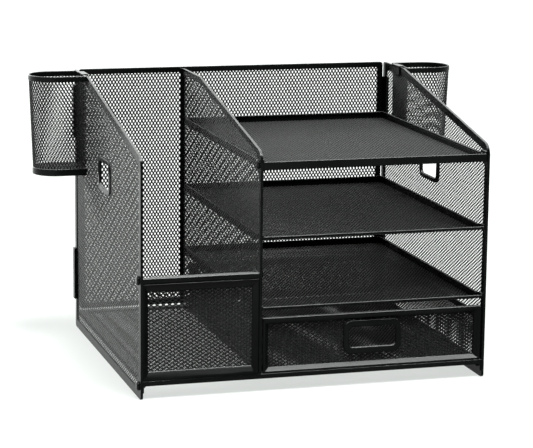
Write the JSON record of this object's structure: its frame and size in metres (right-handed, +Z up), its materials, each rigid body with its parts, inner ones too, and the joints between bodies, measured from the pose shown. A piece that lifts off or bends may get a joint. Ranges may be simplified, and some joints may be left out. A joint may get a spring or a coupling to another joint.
{
  "type": "desk organizer",
  "caption": "Steel-mesh desk organizer with letter trays over a sliding drawer, an upright file holder with a framed front, and pen cups hung on both sides.",
  "frame": {"origin": "bottom centre of the bounding box, on the desk below the middle of the organizer", "axes": "+X across the front, to the right for someone facing it; +Y from front to back; +Z up"},
  "size_m": [0.448, 0.2992, 0.2714],
  "materials": {
    "coated_strip": "satin black powder coat on folded steel strip",
    "coated_mesh": "satin black powder coat on expanded steel mesh",
    "fasteners": "gloss black coated steel"
  },
  "bodies": {
    "organizer": {"back_frame": "coated_strip", "back_mesh": "coated_mesh", "base_frame": "coated_strip", "base_mesh": "coated_mesh", "divider_frame": "coated_strip", "divider_mesh": "coated_mesh", "file_front_frame": "coated_strip", "file_front_mesh": "coated_mesh", "file_front_rail": "coated_strip", "left_handle_rim": "coated_strip", "left_panel_frame": "coated_strip", "left_panel_mesh": "coated_mesh", "lower_tray_frame": "coated_strip", "lower_tray_mesh": "coated_mesh", "middle_tray_frame": "coated_strip", "middle_tray_mesh": "coated_mesh", "nuts": "fasteners", "rear_brackets": "coated_strip", "right_handle_rim": "coated_strip", "right_panel_frame": "coated_strip", "right_panel_mesh": "coated_mesh", "screws": "fasteners", "top_tray_frame": "coated_strip", "top_tray_mesh": "coated_mesh"},
    "drawer": {"drawer_back_mesh": "coated_mesh", "drawer_floor_mesh": "coated_mesh", "drawer_front_frame": "coated_strip", "drawer_front_mesh": "coated_mesh", "drawer_handle": "coated_strip", "drawer_left_mesh": "coated_mesh", "drawer_right_mesh": "coated_mesh", "drawer_rim": "coated_strip"},
    "left_cup": {"left_cup_floor": "coated_mesh", "left_cup_foot_rim": "coated_strip", "left_cup_hook": "coated_strip", "left_cup_top_rim": "coated_strip", "left_cup_wall": "coated_mesh"},
    "right_cup": {"right_cup_floor": "coated_mesh", "right_cup_foot_rim": "coated_strip", "right_cup_hook": "coated_strip", "right_cup_top_rim": "coated_strip", "right_cup_wall": "coated_mesh"}
  },
  "joints": [
    {"name": "drawer_slide", "type": "slide", "parent": "organizer", "child": "drawer", "axis": [0, -1, 0], "range_m": [0, 0.24]},
    {"name": "left_cup_lift", "type": "slide", "parent": "organizer", "child": "left_cup", "axis": [0, 0, 1], "range_m": [0, 0.11]},
    {"name": "right_cup_lift", "type": "slide", "parent": "organizer", "child": "right_cup", "axis": [0, 0, 1], "range_m": [0, 0.11]}
  ]
}
